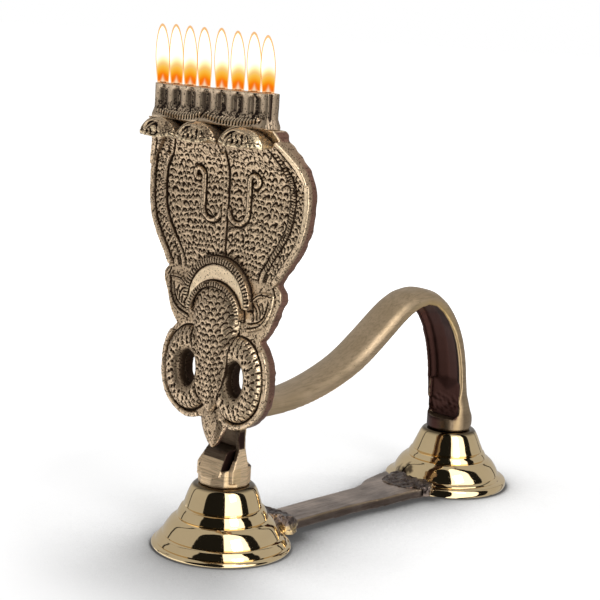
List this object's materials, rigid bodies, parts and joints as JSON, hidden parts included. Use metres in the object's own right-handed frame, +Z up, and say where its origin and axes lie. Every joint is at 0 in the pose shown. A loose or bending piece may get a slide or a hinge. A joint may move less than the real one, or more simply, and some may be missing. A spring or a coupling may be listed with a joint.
{
  "type": "cobra aarti lamp",
  "caption": "Brass hand-held aarti lamp: cobra hood plate with a row of wick sockets on bell feet, with an arched handle and a tie bar.",
  "frame": {"origin": "on the floor, midway between the two bell feet", "axes": "+Z up, -Y the way the carved hood looks, +Y back along the handle, +X to the right of someone facing the hood"},
  "size_m": [0.0772, 0.18, 0.1672],
  "materials": {
    "antique_brass": "cast, tan high spots over dark brown patina",
    "filed_brass": "cast and filed, fine file strokes",
    "satin_brass": "satin, brushed, dark inside the channel",
    "dull_brass": "dull grey-brown, scratched",
    "polished_brass": "mirror polished, turned rings",
    "screw_brass": "plain turned",
    "solder": "rough brazing, lumpy",
    "cotton": "twisted cotton"
  },
  "bodies": {
    "lamp": {"hood_plate": "antique_brass", "wick_rail": "antique_brass", "snake_head_left": "antique_brass", "snake_head_centre": "antique_brass", "snake_head_right": "antique_brass", "front_leg": "filed_brass", "handle": "satin_brass", "tie_bar": "dull_brass", "front_foot": "polished_brass", "front_foot_screw": "screw_brass", "front_foot_washer": "screw_brass", "rear_foot": "polished_brass", "rear_foot_screw": "screw_brass", "rear_foot_washer": "screw_brass", "front_solder": "solder", "rear_solder": "solder"},
    "wick_1": {"wick_1": "cotton"},
    "wick_2": {"wick_2": "cotton"},
    "wick_3": {"wick_3": "cotton"},
    "wick_4": {"wick_4": "cotton"},
    "wick_5": {"wick_5": "cotton"},
    "wick_6": {"wick_6": "cotton"},
    "wick_7": {"wick_7": "cotton"},
    "wick_8": {"wick_8": "cotton"}
  },
  "joints": [
    {"name": "wick_1_lift", "type": "slide", "parent": "lamp", "child": "wick_1", "axis": [0, 0, 1], "range_m": [0, 0.0145]},
    {"name": "wick_2_lift", "type": "slide", "parent": "lamp", "child": "wick_2", "axis": [0, 0, 1], "range_m": [0, 0.0145]},
    {"name": "wick_3_lift", "type": "slide", "parent": "lamp", "child": "wick_3", "axis": [0, 0, 1], "range_m": [0, 0.0145]},
    {"name": "wick_4_lift", "type": "slide", "parent": "lamp", "child": "wick_4", "axis": [0, 0, 1], "range_m": [0, 0.0145]},
    {"name": "wick_5_lift", "type": "slide", "parent": "lamp", "child": "wick_5", "axis": [0, 0, 1], "range_m": [0, 0.0145]},
    {"name": "wick_6_lift", "type": "slide", "parent": "lamp", "child": "wick_6", "axis": [0, 0, 1], "range_m": [0, 0.0145]},
    {"name": "wick_7_lift", "type": "slide", "parent": "lamp", "child": "wick_7", "axis": [0, 0, 1], "range_m": [0, 0.0145]},
    {"name": "wick_8_lift", "type": "slide", "parent": "lamp", "child": "wick_8", "axis": [0, 0, 1], "range_m": [0, 0.0145]}
  ]
}
